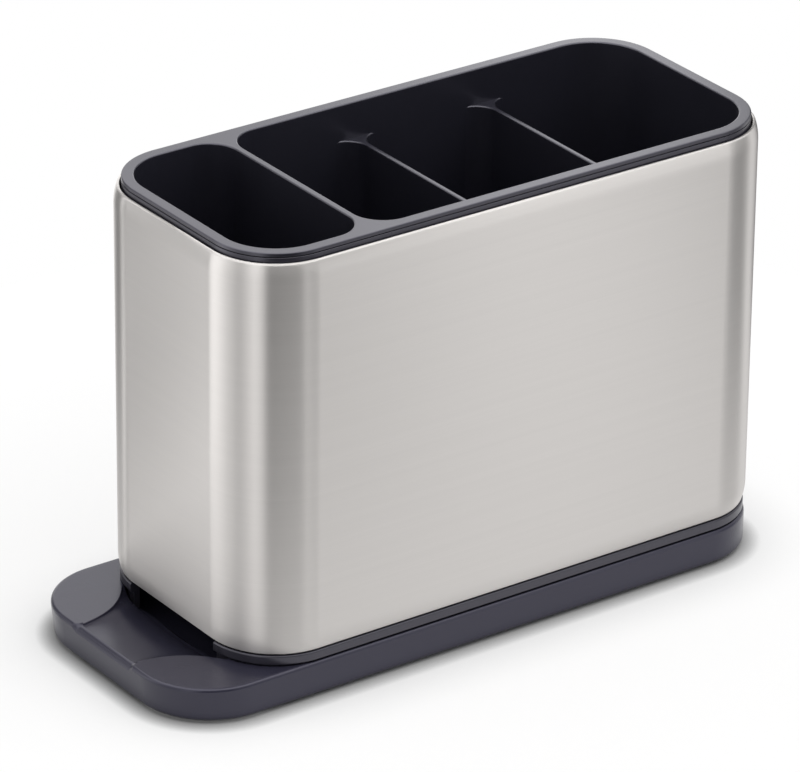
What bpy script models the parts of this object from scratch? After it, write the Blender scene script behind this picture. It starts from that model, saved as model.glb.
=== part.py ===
"""Free-standing cutlery drainer: a steel sleeve with a lift-out insert, standing on a drip tray.

Metres, +Z up. The spout points to -X and the origin is under the middle of the whole object.
The sleeve, both rings and the tray all follow one footprint, a rectangle with round corners.
A profile is a list of (inset, height) pairs: how far inside that footprint, and how high.
"""

import math

import bmesh
import bpy

# Footprint of the steel sleeve, which every other piece follows.
SLEEVE_LENGTH = 0.2160
SLEEVE_WIDTH = 0.0998
CORNER_RADIUS = 0.0260

# Steel sleeve: thin sheet, drawn in along its top and bottom edges and rolled over.
SLEEVE_HEIGHT = 0.1402
SHEET = 0.0006
SHOULDER_HEIGHT = 0.0060
SHOULDER_RADIUS = 0.0200
ROLL_RADIUS = 0.0009
ROLL_PAST_TOP = math.radians(10)

# Clearances between pieces.
PLAY = 0.0003
LIP_GAP = 0.00066
TRAY_GAP = 0.0005
SKIRT_CLEARANCE = 0.0008

# Rings that finish both ends of the sleeve and snap behind its rolled edges.
RING_WALL = 0.0016
HOOK_HEIGHT = 0.0100
TOP_RING_PROUD = 0.00156
BASE_FLANGE_INSET = 0.0006
BASE_FLANGE_HEIGHT = 0.0034
BASE_FLANGE_EDGE = 0.0005
BASE_CUT_WIDTH = 0.0496

# Lift-out insert with four compartments.
FLANGE_THICKNESS = 0.00134
RIM_WIDTH = 0.0043
RIM_EDGE = 0.0004
INSERT_WALL = 0.0020
INSERT_DEPTH = 0.1400
INSERT_FLOOR = 0.0025
INSERT_FOOT_RADIUS = 0.0030
FLOOR_FILLET = 0.0030
DRAFT = math.tan(math.radians(0.5))
FIRST_LENGTH = 0.0417
SECOND_LENGTH = 0.0520
THIRD_LENGTH = 0.0514
FULL_DIVIDER = 0.0025
LOW_DIVIDER = 0.0019
LOW_DIVIDER_DROP = 0.0130
LOW_DIVIDER_FILLET = 0.0075
FIRST_INNER_RADIUS = 0.0110
SECOND_INNER_RADIUS = 0.0115
HOLE_DIAMETER = 0.0060
HOLE_PITCH = 0.0140
HOLE_MARGIN = 0.0080

# Drip tray: well for the body, basin under it, pouring spout and two flat wings beside it.
TRAY_HEIGHT = 0.0124
TRAY_INSET = 0.0001
TRAY_EDGE = 0.0010
TRAY_FOOT_RADIUS = 0.0020
SPOUT_TUCK = 0.0008
TUCK_RADIUS = 0.0270
WELL_WALL = 0.0012
LEDGE_HEIGHT = 0.0060
LEDGE_MARGIN = 0.0003
BASIN_FLOOR = 0.0026
BASIN_FALL = 0.0010
BASIN_FILLET = 0.0025
SPOUT_REACH = 0.0270
LIP_WALL = 0.0028
LIP_DROP = 0.0006
LIP_STEP = 0.0011
LIP_FLARE = 0.0050
LIP_WIDTH = 0.0312
MOUTH_WIDTH = 0.0620
RAMP_LENGTH = 0.0290
RAMP_CURVE = 1.25
SPOUT_SQUARENESS = 3.0
POCKET_WALL = 0.0020

# Rubber feet, glued in round recesses under the tray.
FOOT_DIAMETER = 0.0140
FOOT_HEIGHT = 0.0016
FOOT_PROUD = 0.0008
FOOT_EDGE = 0.0004
FOOT_FROM_END = 0.0300
FOOT_FROM_SIDE = 0.0200

# How finely the curves are cut, and how far a cutter runs past what it cuts.
CORNER_STEPS = 10
ROLL_STEPS = 4
SHOULDER_STEPS = 3
FILLET_STEPS = 3
SPOUT_STATIONS = 9
SPOUT_SIDES = 14
HOLE_SIDES = 8
FOOT_SIDES = 20
OVERCUT = 0.0020

# Places worked out from the sizes above.
BODY_X = SPOUT_REACH / 2
BODY_START = BODY_X - SLEEVE_LENGTH / 2
BODY_END = BODY_X + SLEEVE_LENGTH / 2
TRAY_START = BODY_START - SPOUT_REACH
TRAY_END = BODY_END - TRAY_INSET
TRAY_HALF = SLEEVE_WIDTH / 2 - TRAY_INSET
TRAY_BASE = FOOT_PROUD
TRAY_TOP = TRAY_BASE + TRAY_HEIGHT
LEDGE_TOP = TRAY_BASE + LEDGE_HEIGHT
BASIN_TOP = TRAY_BASE + BASIN_FLOOR
BASE_FLANGE_BOTTOM = TRAY_TOP + TRAY_GAP
BASE_FLANGE_TOP = BASE_FLANGE_BOTTOM + BASE_FLANGE_HEIGHT
SLEEVE_BOTTOM = BASE_FLANGE_TOP + PLAY
SLEEVE_TOP = SLEEVE_BOTTOM + SLEEVE_HEIGHT
TOP_RING_TOP = SLEEVE_TOP + TOP_RING_PROUD
FLANGE_BOTTOM = TOP_RING_TOP + PLAY
RIM_TOP = FLANGE_BOTTOM + FLANGE_THICKNESS
INSERT_BOTTOM = RIM_TOP - INSERT_DEPTH
INSERT_FLOOR_TOP = INSERT_BOTTOM + INSERT_FLOOR

# Insets worked out from the rolled edge inwards.
LEAN = math.asin(SHOULDER_HEIGHT / SHOULDER_RADIUS)
SHOULDER_INSET = SHOULDER_RADIUS * (1 - math.cos(LEAN))
ROLL_INSET = SHOULDER_INSET + ROLL_RADIUS * math.cos(LEAN)
EDGE_HEIGHT = SHOULDER_HEIGHT + ROLL_RADIUS * (1 - math.sin(LEAN))
RING_FACE = ROLL_INSET + ROLL_RADIUS * math.sin(ROLL_PAST_TOP) + LIP_GAP
HOOK_FACE = SHEET + PLAY
NECK_HEIGHT = 2 * ROLL_RADIUS
RIM_INSET = RING_FACE + RIM_WIDTH
INSERT_INSET = RIM_INSET - INSERT_WALL
WELL_INSET = TRAY_INSET + WELL_WALL
SKIRT_INSET = WELL_INSET + SKIRT_CLEARANCE
SKIRT_INNER = RING_FACE + RING_WALL
BASIN_INSET = SKIRT_INNER + LEDGE_MARGIN

# Compartments, from the spout end: where each starts and ends at the rim.
FIRST_START = BODY_START + RIM_INSET
FIRST_END = FIRST_START + FIRST_LENGTH
REST_START = FIRST_END + FULL_DIVIDER
REST_END = BODY_END - RIM_INSET
DIVIDER_TWO_X = REST_START + SECOND_LENGTH + LOW_DIVIDER / 2
DIVIDER_THREE_X = DIVIDER_TWO_X + LOW_DIVIDER + THIRD_LENGTH
RIM_HALF = SLEEVE_WIDTH / 2 - RIM_INSET


def clear_scene():
    """Remove whatever the scene holds, so that the model starts from nothing."""
    for obj in list(bpy.data.objects):
        bpy.data.objects.remove(obj, do_unlink=True)


def make_material(name, colour, roughness, metallic=0.0):
    """A Principled material in one colour."""
    material = bpy.data.materials.new(name)
    material.use_nodes = True
    shader = material.node_tree.nodes["Principled BSDF"]
    shader.inputs["Base Color"].default_value = (*colour, 1.0)
    shader.inputs["Roughness"].default_value = roughness
    shader.inputs["Metallic"].default_value = metallic
    return material


def rounded_box(x0, x1, y0, y1, radii, steps=CORNER_STEPS):
    """Anticlockwise outline with round corners. The radii start at the +X +Y corner."""
    corners = ((x1, y1, -1, -1), (x0, y1, 1, -1), (x0, y0, 1, 1), (x1, y0, -1, 1))
    points = []
    for quarter, ((x, y, way_x, way_y), radius) in enumerate(zip(corners, radii)):
        for step in range(steps + 1):
            angle = math.pi / 2 * (quarter + step / steps)
            point_x = x + way_x * radius + radius * math.cos(angle)
            point_y = y + way_y * radius + radius * math.sin(angle)
            points.append((point_x, point_y))
    return points


def footprint(inset):
    """The sleeve's footprint, drawn in on every side by inset."""
    half = SLEEVE_WIDTH / 2 - inset
    radius = CORNER_RADIUS - inset
    return rounded_box(BODY_START + inset, BODY_END - inset, -half, half, [radius] * 4)


def tuck_share(height):
    """How far down the tray's side a height lies: 0 at the top and 1 at the base."""
    return (TRAY_TOP - height) / TRAY_HEIGHT


def tray_outline(inset, height):
    """The tray's outline at one height: the footprint carried on to the spout's lip.

    The end under the spout leans in towards the base, where its corners are rounder.
    """
    share = tuck_share(height)
    half = TRAY_HALF - inset
    start = TRAY_START + SPOUT_TUCK * share + inset
    body_corner = CORNER_RADIUS - inset
    spout_corner = CORNER_RADIUS + (TUCK_RADIUS - CORNER_RADIUS) * share - inset
    radii = [body_corner, spout_corner, spout_corner, body_corner]
    return rounded_box(start, TRAY_END - inset, -half, half, radii)


def at_height(points, height):
    """The flat outline lifted to one height."""
    return [(x, y, height) for x, y in points]


def loft(name, loops, closed=False):
    """Mesh object through loops of as many points each: capped at both ends, or closed on itself."""
    mesh = bmesh.new()
    rings = [[mesh.verts.new(point) for point in loop] for loop in loops]
    pairs = list(zip(rings, rings[1:]))
    if closed:
        pairs.append((rings[-1], rings[0]))
    else:
        mesh.faces.new(list(reversed(rings[0])))
        mesh.faces.new(rings[-1])
    for lower, upper in pairs:
        for index in range(len(lower)):
            following = (index + 1) % len(lower)
            mesh.faces.new((lower[index], lower[following], upper[following], upper[index]))
    bmesh.ops.recalc_face_normals(mesh, faces=mesh.faces)
    data = bpy.data.meshes.new(name)
    mesh.to_mesh(data)
    mesh.free()
    obj = bpy.data.objects.new(name, data)
    bpy.context.scene.collection.objects.link(obj)
    return obj


def ring(name, profile):
    """A profile of (inset, height) pairs carried round the footprint."""
    return loft(name, [at_height(footprint(inset), height) for inset, height in profile], closed=True)


def finish(obj, material, smooth_angle=math.radians(35)):
    """Give a piece its material and smooth shading with sharp edges kept."""
    obj.data.materials.append(material)
    obj.data.shade_smooth()
    obj.data.set_sharp_from_angle(angle=smooth_angle)
    return obj


def as_cutter(obj):
    """A helper that shapes another piece and isn't part of the model."""
    obj.hide_render = True
    obj.display_type = "WIRE"
    return obj


def combine(obj, other, operation):
    """Leave a Boolean on obj that takes other away from it or adds it."""
    as_cutter(other)
    modifier = obj.modifiers.new(f"{operation.lower()} {other.name}", "BOOLEAN")
    modifier.operation = operation
    modifier.object = other
    modifier.solver = "EXACT"


def joined(name, parts):
    """One mesh object that holds several loose solids."""
    mesh = bmesh.new()
    for part in parts:
        mesh.from_mesh(part.data)
        bpy.data.objects.remove(part, do_unlink=True)
    data = bpy.data.meshes.new(name)
    mesh.to_mesh(data)
    mesh.free()
    obj = bpy.data.objects.new(name, data)
    bpy.context.scene.collection.objects.link(obj)
    return obj


def cylinder(name, x, y, bottom, top, radius, sides, chamfer=0.0):
    """Upright round bar, with its lower edge chamfered if asked."""
    levels = [(radius, bottom), (radius, top)]
    if chamfer:
        levels = [(radius - chamfer, bottom), (radius, bottom + chamfer), (radius, top)]
    loops = []
    for size, height in levels:
        turns = [2 * math.pi * side / sides for side in range(sides)]
        loops.append([(x + size * math.cos(turn), y + size * math.sin(turn), height) for turn in turns])
    return loft(name, loops)


def quarter_round(radius):
    """Points of a fillet from a wall in to a floor: (distance from the wall, height over the floor)."""
    for step in range(FILLET_STEPS + 1):
        angle = math.pi / 2 * step / FILLET_STEPS
        yield radius * (1 - math.cos(angle)), radius * (1 - math.sin(angle))


def rolled_edge():
    """Outer face of the sheet at its top edge, upwards: (inset, height over the shoulder, normal angle)."""
    points = []
    for step in range(SHOULDER_STEPS + 1):
        angle = LEAN * step / SHOULDER_STEPS
        inset = SHOULDER_RADIUS * (1 - math.cos(angle))
        points.append((inset, SHOULDER_RADIUS * math.sin(angle), angle))
    roll_height = SHOULDER_HEIGHT - ROLL_RADIUS * math.sin(LEAN)
    for step in range(1, ROLL_STEPS + 1):
        angle = LEAN + (math.pi / 2 + ROLL_PAST_TOP - LEAN) * step / ROLL_STEPS
        inset = ROLL_INSET - ROLL_RADIUS * math.cos(angle)
        points.append((inset, roll_height + ROLL_RADIUS * math.sin(angle), angle))
    return points


def sleeve_profile():
    """Closed section of the sheet: the outer face going up, then the inner face coming down."""
    edge = rolled_edge()
    outer = []
    inner = []
    for inset, rise, angle in reversed(edge):
        height = SLEEVE_BOTTOM + EDGE_HEIGHT - rise
        outer.append((inset, height))
        inner.append((inset + SHEET * math.cos(angle), height + SHEET * math.sin(angle)))
    for inset, rise, angle in edge:
        height = SLEEVE_TOP - EDGE_HEIGHT + rise
        outer.append((inset, height))
        inner.append((inset + SHEET * math.cos(angle), height - SHEET * math.sin(angle)))
    return outer + inner[::-1]


def build_sleeve(material):
    """Steel sleeve, open at both ends."""
    return finish(ring("steel_sleeve", sleeve_profile()), material, math.radians(50))


def build_top_ring(material):
    """Ring in the sleeve's top: the insert's flange rests on it, and its hook snaps under the lip."""
    hook_top = SLEEVE_TOP - EDGE_HEIGHT
    hook_bottom = hook_top - HOOK_HEIGHT / 2
    neck = SLEEVE_TOP - NECK_HEIGHT
    inner = INSERT_INSET - PLAY
    profile = [
        (RING_FACE, TOP_RING_TOP),
        (RING_FACE, neck),
        (HOOK_FACE, hook_top),
        (HOOK_FACE, hook_bottom),
        (HOOK_FACE + RING_WALL, hook_bottom),
        (HOOK_FACE + RING_WALL, hook_top),
        (inner, neck),
        (inner, TOP_RING_TOP),
    ]
    return finish(ring("top_ring", profile), material)


def build_base_ring(material):
    """Ring in the sleeve's bottom: flange, skirt that stands in the tray, and a cut for the spout."""
    hook_bottom = SLEEVE_BOTTOM + EDGE_HEIGHT
    hook_top = hook_bottom + HOOK_HEIGHT / 2
    neck = SLEEVE_BOTTOM + NECK_HEIGHT
    profile = [
        (BASE_FLANGE_INSET + BASE_FLANGE_EDGE, BASE_FLANGE_TOP),
        (BASE_FLANGE_INSET, BASE_FLANGE_TOP - BASE_FLANGE_EDGE),
        (BASE_FLANGE_INSET, BASE_FLANGE_BOTTOM + BASE_FLANGE_EDGE),
        (BASE_FLANGE_INSET + BASE_FLANGE_EDGE, BASE_FLANGE_BOTTOM),
        (SKIRT_INSET, BASE_FLANGE_BOTTOM),
        (SKIRT_INSET, LEDGE_TOP + PLAY),
        (SKIRT_INNER, LEDGE_TOP + PLAY),
        (SKIRT_INNER, neck),
        (HOOK_FACE + RING_WALL, hook_bottom),
        (HOOK_FACE + RING_WALL, hook_top),
        (HOOK_FACE, hook_top),
        (HOOK_FACE, hook_bottom),
        (RING_FACE, neck),
        (RING_FACE, BASE_FLANGE_TOP),
    ]
    base = ring("base_ring", profile)
    cut_start = BODY_START - OVERCUT
    cut_end = BODY_START + SKIRT_INNER + OVERCUT
    half = BASE_CUT_WIDTH / 2
    corners = [(cut_start, -half), (cut_end, -half), (cut_end, half), (cut_start, half)]
    heights = (TRAY_BASE, SLEEVE_BOTTOM + NECK_HEIGHT / 2)
    combine(base, loft("base_ring_opening", [at_height(corners, height) for height in heights]), "DIFFERENCE")
    return finish(base, material)


def hollow_loop(start, end, radii, level, inset=0.0):
    """Outline of a hollow of the insert at one height. The draft narrows it downwards."""
    inset += (RIM_TOP - level) * DRAFT
    half = RIM_HALF - inset
    corners = [radius - inset for radius in radii]
    return at_height(rounded_box(start + inset, end - inset, -half, half, corners), level)


def hollow(name, start, end, radii):
    """Cutter for one opening of the insert, from a chamfered mouth down to a filleted floor."""
    loops = [
        hollow_loop(start, end, radii, RIM_TOP + RIM_EDGE, -2 * RIM_EDGE),
        hollow_loop(start, end, radii, RIM_TOP - RIM_EDGE),
    ]
    for inset, rise in quarter_round(FLOOR_FILLET):
        loops.append(hollow_loop(start, end, radii, INSERT_FLOOR_TOP + rise, inset))
    return loft(name, loops[::-1])


def flared_strip(centre, level, thickness):
    """Outline of a low divider, whose ends spread into the walls with round fillets."""
    inset = (RIM_TOP - level) * DRAFT
    wall = RIM_HALF - inset
    half = thickness / 2
    radius = LOW_DIVIDER_FILLET
    near_tangent = math.radians(84)
    quarter = []
    for step in range(CORNER_STEPS // 2 + 1):
        angle = near_tangent * step / (CORNER_STEPS // 2)
        along = half + radius * (1 - math.cos(angle))
        quarter.append((along, wall - radius + radius * math.sin(angle)))
    last_x, last_y = quarter[-1]
    embed = INSERT_WALL / 4
    quarter.append((last_x + embed / math.tan(math.pi / 2 - near_tangent), last_y + embed))
    quarter.append((last_x, wall + INSERT_WALL / 2))
    right = [(centre + x, y) for x, y in quarter]
    left = [(centre - x, y) for x, y in reversed(quarter)]
    upper = right + left
    return upper + [(2 * centre - x, -y) for x, y in upper]


def low_divider(name, centre):
    """Divider that stops short of the rim, a little thicker towards the floor, with chamfered edges."""
    top = RIM_TOP - LOW_DIVIDER_DROP
    loops = []
    for level in (INSERT_FLOOR_TOP - INSERT_FLOOR / 2, top - RIM_EDGE):
        thickness = LOW_DIVIDER + 2 * (top - level) * DRAFT
        loops.append(at_height(flared_strip(centre, level, thickness), level))
    loops.append(at_height(flared_strip(centre, top, LOW_DIVIDER - 2 * RIM_EDGE), top))
    return loft(name, loops)


def hole_places():
    """Centres of the drain holes, in rows on the floor of each compartment."""
    bounds = [
        (FIRST_START, FIRST_END),
        (REST_START, DIVIDER_TWO_X - LOW_DIVIDER / 2),
        (DIVIDER_TWO_X + LOW_DIVIDER / 2, DIVIDER_THREE_X - LOW_DIVIDER / 2),
        (DIVIDER_THREE_X + LOW_DIVIDER / 2, REST_END),
    ]
    rows = 1 + int((2 * (RIM_HALF - HOLE_MARGIN)) / HOLE_PITCH)
    for start, end in bounds:
        columns = 1 + int((end - start - 2 * HOLE_MARGIN) / HOLE_PITCH)
        for column in range(columns):
            for row in range(rows):
                x = (start + end) / 2 + (column - (columns - 1) / 2) * HOLE_PITCH
                yield x, (row - (rows - 1) / 2) * HOLE_PITCH


def build_insert(material):
    """Lift-out insert: one moulding with a flange, four compartments and drain holes."""
    base_inset = INSERT_INSET + (FLANGE_BOTTOM - INSERT_BOTTOM) * DRAFT
    foot = [(base_inset + inset, INSERT_BOTTOM + rise) for inset, rise in quarter_round(INSERT_FOOT_RADIUS)]
    levels = foot[::-1]
    levels.append((INSERT_INSET, FLANGE_BOTTOM))
    levels.append((RING_FACE, FLANGE_BOTTOM))
    levels.append((RING_FACE, RIM_TOP - RIM_EDGE))
    levels.append((RING_FACE + RIM_EDGE, RIM_TOP))
    insert = loft("cutlery_insert", [at_height(footprint(inset), height) for inset, height in levels])
    outer = CORNER_RADIUS - RIM_INSET
    first_radii = [FIRST_INNER_RADIUS, outer, outer, FIRST_INNER_RADIUS]
    rest_radii = [outer, SECOND_INNER_RADIUS, SECOND_INNER_RADIUS, outer]
    combine(insert, hollow("first_hollow", FIRST_START, FIRST_END, first_radii), "DIFFERENCE")
    combine(insert, hollow("rest_hollow", REST_START, REST_END, rest_radii), "DIFFERENCE")
    dividers = [low_divider("divider_two", DIVIDER_TWO_X), low_divider("divider_three", DIVIDER_THREE_X)]
    combine(insert, joined("low_dividers", dividers), "UNION")
    holes = []
    for x, y in hole_places():
        bottom = INSERT_BOTTOM - OVERCUT
        top = INSERT_FLOOR_TOP + OVERCUT
        holes.append(cylinder("hole", x, y, bottom, top, HOLE_DIAMETER / 2, HOLE_SIDES))
    combine(insert, joined("drain_holes", holes), "DIFFERENCE")
    return finish(insert, material)


def spout_half_width(x):
    """Half the width of the spout at the deck: narrow at the lip, flaring to meet the well."""
    share = (x - TRAY_START - LIP_WALL) / (SPOUT_REACH + WELL_INSET - LIP_WALL)
    share = min(max(share, 0.0), 1.0)
    flare = 0.3 * share + 0.7 * share**3
    return (LIP_WIDTH + (MOUTH_WIDTH - LIP_WIDTH) * flare) / 2


def spout_floor(x):
    """Height of the spout's floor: a ramp from the basin to just behind the lip."""
    share = min(max((x - TRAY_START - LIP_WALL) / RAMP_LENGTH, 0.0), 1.0)
    ramp_top = TRAY_TOP - LIP_DROP - LIP_STEP
    return BASIN_TOP + (ramp_top - BASIN_TOP) * (1 - share) ** RAMP_CURVE


def spout_section(x):
    """One cross-section of the spout: a round-bottomed U, closed above the deck."""
    half = spout_half_width(x)
    depth = TRAY_TOP - spout_floor(x)
    power = 2 / SPOUT_SQUARENESS
    points = [(x, half, TRAY_TOP + OVERCUT), (x, half, TRAY_TOP)]
    for side in range(1, SPOUT_SIDES):
        angle = math.pi * side / SPOUT_SIDES
        across = math.copysign(abs(math.cos(angle)) ** power, math.cos(angle))
        points.append((x, half * across, TRAY_TOP - depth * math.sin(angle) ** power))
    return points + [(x, -half, TRAY_TOP), (x, -half, TRAY_TOP + OVERCUT)]


def spout_cutter():
    """The channel from the basin to the lip."""
    start = TRAY_START + LIP_WALL
    end = BODY_START + BASIN_INSET + 2 * OVERCUT
    places = [start + (end - start) * step / SPOUT_STATIONS for step in range(SPOUT_STATIONS + 1)]
    return loft("spout_channel", [spout_section(x) for x in places])


def lip_cutter():
    """Rounds the end wall over between the wings, to make the pouring lip. Its ends run out upwards."""
    top = TRAY_TOP - LIP_DROP
    roof = TRAY_TOP + LIP_WALL + OVERCUT
    profile = [(TRAY_START - OVERCUT, top - LIP_WALL)]
    for inset, rise in quarter_round(LIP_WALL):
        profile.append((TRAY_START + inset, top - rise))
    profile.append((TRAY_START + LIP_WALL + OVERCUT / 4, top))
    half = LIP_WIDTH / 2
    run_out = LIP_DROP + LIP_WALL
    loops = []
    for y, lift in ((-half - LIP_FLARE, run_out), (-half, 0.0), (half, 0.0), (half + LIP_FLARE, run_out)):
        loop = [(x, y, z + lift) for x, z in profile]
        loop.append((TRAY_START + LIP_WALL + OVERCUT / 4, y, roof))
        loop.append((TRAY_START - OVERCUT, y, roof))
        loops.append(loop)
    return loft("pouring_lip", loops)


def basin_cutter():
    """Basin under the body, inside the ledge. Its floor falls towards the spout."""
    loops = [at_height(footprint(BASIN_INSET), LEDGE_TOP + OVERCUT)]
    for inset, rise in quarter_round(BASIN_FILLET):
        loop = []
        for x, y in footprint(BASIN_INSET + inset):
            fall = BASIN_FALL * (x - BODY_START) / SLEEVE_LENGTH
            loop.append((x, y, BASIN_TOP + fall + rise))
        loops.append(loop)
    return loft("basin", loops[::-1])


def wing_pocket(name, side):
    """Hollow under one wing, open below. It follows the tray's outline at the base."""
    outer_y = TRAY_HALF - POCKET_WALL
    outer_radius = TUCK_RADIUS - POCKET_WALL
    corner_x = TRAY_START + SPOUT_TUCK + TUCK_RADIUS
    corner_y = TRAY_HALF - TUCK_RADIUS
    body_x = BODY_START + CORNER_RADIUS
    body_y = SLEEVE_WIDTH / 2 - CORNER_RADIUS
    body_radius = CORNER_RADIUS - WELL_INSET + POCKET_WALL
    first_x = TRAY_START + SPOUT_TUCK + POCKET_WALL
    spout_side = spout_half_width(first_x) + 2 * POCKET_WALL
    turn = math.pi / 2 - math.asin((spout_side - corner_y) / outer_radius)
    points = []
    for step in range(CORNER_STEPS + 1):
        angle = math.pi / 2 + turn * step / CORNER_STEPS
        points.append((corner_x + outer_radius * math.cos(angle), corner_y + outer_radius * math.sin(angle)))
    first_x = points[-1][0]
    last_x = BODY_START - POCKET_WALL
    for step in range(SPOUT_STATIONS + 1):
        x = first_x + (last_x - first_x) * step / SPOUT_STATIONS
        points.append((x, spout_half_width(x) + POCKET_WALL))
    start_angle = math.asin((points[-1][1] + POCKET_WALL - body_y) / body_radius)
    end_angle = math.asin((outer_y - body_y) / body_radius)
    for step in range(CORNER_STEPS // 2 + 1):
        angle = start_angle + (end_angle - start_angle) * step / (CORNER_STEPS // 2)
        points.append((body_x - body_radius * math.cos(angle), body_y + body_radius * math.sin(angle)))
    outline = [(x, side * y) for x, y in points]
    heights = (TRAY_BASE - OVERCUT, TRAY_TOP - POCKET_WALL)
    return loft(name, [at_height(outline, height) for height in heights])


def foot_places():
    """Centres of the four feet, by name."""
    near = BODY_START + FOOT_FROM_END
    far = BODY_END - FOOT_FROM_END
    side = TRAY_HALF - FOOT_FROM_SIDE
    return {
        "foot_spout_front": (near, -side),
        "foot_spout_back": (near, side),
        "foot_end_front": (far, -side),
        "foot_end_back": (far, side),
    }


def build_tray(material):
    """Drip tray with its well, basin, spout and foot recesses."""
    levels = [(inset, TRAY_BASE + rise) for inset, rise in quarter_round(TRAY_FOOT_RADIUS)][::-1]
    levels += [(inset, TRAY_TOP - rise) for inset, rise in quarter_round(TRAY_EDGE)]
    tray = loft("drip_tray", [at_height(tray_outline(inset, height), height) for inset, height in levels])
    well_heights = (LEDGE_TOP, TRAY_TOP + OVERCUT)
    well = loft("well", [at_height(footprint(WELL_INSET), height) for height in well_heights])
    combine(tray, well, "DIFFERENCE")
    combine(tray, basin_cutter(), "DIFFERENCE")
    combine(tray, spout_cutter(), "DIFFERENCE")
    combine(tray, lip_cutter(), "DIFFERENCE")
    combine(tray, wing_pocket("front_wing_pocket", -1), "DIFFERENCE")
    combine(tray, wing_pocket("back_wing_pocket", 1), "DIFFERENCE")
    recesses = []
    recess_top = FOOT_HEIGHT + PLAY
    for x, y in foot_places().values():
        radius = FOOT_DIAMETER / 2 + PLAY
        recesses.append(cylinder("recess", x, y, -OVERCUT, recess_top, radius, FOOT_SIDES))
    combine(tray, joined("foot_recesses", recesses), "DIFFERENCE")
    return finish(tray, material)


def build_feet(material):
    """Four rubber discs, standing proud of the tray's underside."""
    feet = []
    for name, (x, y) in foot_places().items():
        foot = cylinder(name, x, y, 0.0, FOOT_HEIGHT, FOOT_DIAMETER / 2, FOOT_SIDES, FOOT_EDGE)
        feet.append(finish(foot, material))
    return feet


def at_joint(name, height, parent=None):
    """Empty on the vertical axis through the body's middle, that carries one lifting group."""
    empty = bpy.data.objects.new(name, None)
    empty.empty_display_size = SLEEVE_WIDTH / 2
    empty.location = (BODY_X, 0.0, height)
    bpy.context.scene.collection.objects.link(empty)
    if parent:
        empty.parent = parent
        empty.location = (0.0, 0.0, height - parent.location.z)
    return empty


def carry(empty, world, pieces):
    """Parent pieces to an empty without moving them. world is where the empty stands."""
    for piece in pieces:
        piece.parent = empty
        piece.location = tuple(-place for place in world)


def build():
    """Make every piece and hang each moving group on its own empty."""
    clear_scene()
    steel = make_material("satin_steel", (0.62, 0.60, 0.57), 0.32, 1.0)
    trim_plastic = make_material("trim_plastic", (0.055, 0.055, 0.065), 0.45)
    insert_plastic = make_material("insert_plastic", (0.020, 0.020, 0.026), 0.50)
    tray_plastic = make_material("tray_plastic", (0.062, 0.064, 0.082), 0.42)
    rubber = make_material("foot_rubber", (0.030, 0.030, 0.030), 0.85)
    build_tray(tray_plastic)
    build_feet(rubber)
    sleeve = build_sleeve(steel)
    top_ring = build_top_ring(trim_plastic)
    base_ring = build_base_ring(trim_plastic)
    insert = build_insert(insert_plastic)
    casing_axis = at_joint("casing_lift_axis", LEDGE_TOP)
    insert_axis = at_joint("insert_lift_axis", TOP_RING_TOP, casing_axis)
    carry(casing_axis, (BODY_X, 0.0, LEDGE_TOP), [sleeve, top_ring, base_ring])
    carry(insert_axis, (BODY_X, 0.0, TOP_RING_TOP), [insert])


build()
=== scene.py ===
# %% [markdown]
# # A cutlery drainer for the edge of the sink
#
# The drainer is a tall steel sleeve that stands on a drip tray. A black insert hangs in the sleeve and
# holds the cutlery in four compartments. Water runs through holes in its floor, into the tray, and out
# over a spout at one end.
#
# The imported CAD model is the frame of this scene: it says where each piece is and what it moves with.
# Every piece below is drawn again with finer roundings and with its finish, and it sits exactly where
# its CAD solid sits. All lengths are in metres, with +Z up and the spout at -X.

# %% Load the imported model
import math

import bmesh
import bpy
from mathutils import Matrix, Vector


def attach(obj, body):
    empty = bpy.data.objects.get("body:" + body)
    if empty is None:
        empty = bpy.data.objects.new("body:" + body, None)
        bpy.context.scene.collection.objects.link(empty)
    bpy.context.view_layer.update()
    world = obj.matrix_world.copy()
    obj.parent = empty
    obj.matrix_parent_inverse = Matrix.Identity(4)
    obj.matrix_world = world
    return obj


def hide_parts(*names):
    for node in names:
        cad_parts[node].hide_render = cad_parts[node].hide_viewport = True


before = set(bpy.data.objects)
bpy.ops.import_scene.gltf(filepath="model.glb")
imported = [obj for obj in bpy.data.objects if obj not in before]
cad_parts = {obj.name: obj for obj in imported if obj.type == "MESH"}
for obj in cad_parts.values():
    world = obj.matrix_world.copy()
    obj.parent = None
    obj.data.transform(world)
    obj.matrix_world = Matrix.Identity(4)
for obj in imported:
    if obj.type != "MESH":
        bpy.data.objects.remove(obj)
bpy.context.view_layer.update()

# %% [markdown]
# ## One footprint for everything
#
# Sleeve, rings, insert and tray all follow one rectangle with round corners, each drawn in by its own
# amount. So a piece only needs a profile: how far inside the footprint it is at which height. A list of
# (inset, height) pairs says that, and the rest of the shape follows from the footprint.

# %% The footprint
BODY_LENGTH = 0.2160
BODY_WIDTH = 0.0998
CORNER_RADIUS = 0.0260
BODY_X = 0.0135
BODY_START = BODY_X - BODY_LENGTH / 2
BODY_END = BODY_X + BODY_LENGTH / 2
CORNER_STEPS = 32


def rounded_box(x0, x1, y0, y1, radii):
    """Anticlockwise outline with round corners. The radii start at the +X +Y corner."""
    corners = ((x1, y1, -1, -1), (x0, y1, 1, -1), (x0, y0, 1, 1), (x1, y0, -1, 1))
    points = []
    for quarter, ((x, y, way_x, way_y), radius) in enumerate(zip(corners, radii)):
        for step in range(CORNER_STEPS + 1):
            angle = math.pi / 2 * (quarter + step / CORNER_STEPS)
            across = x + way_x * radius + radius * math.cos(angle)
            points.append((across, y + way_y * radius + radius * math.sin(angle)))
    return points


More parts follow.
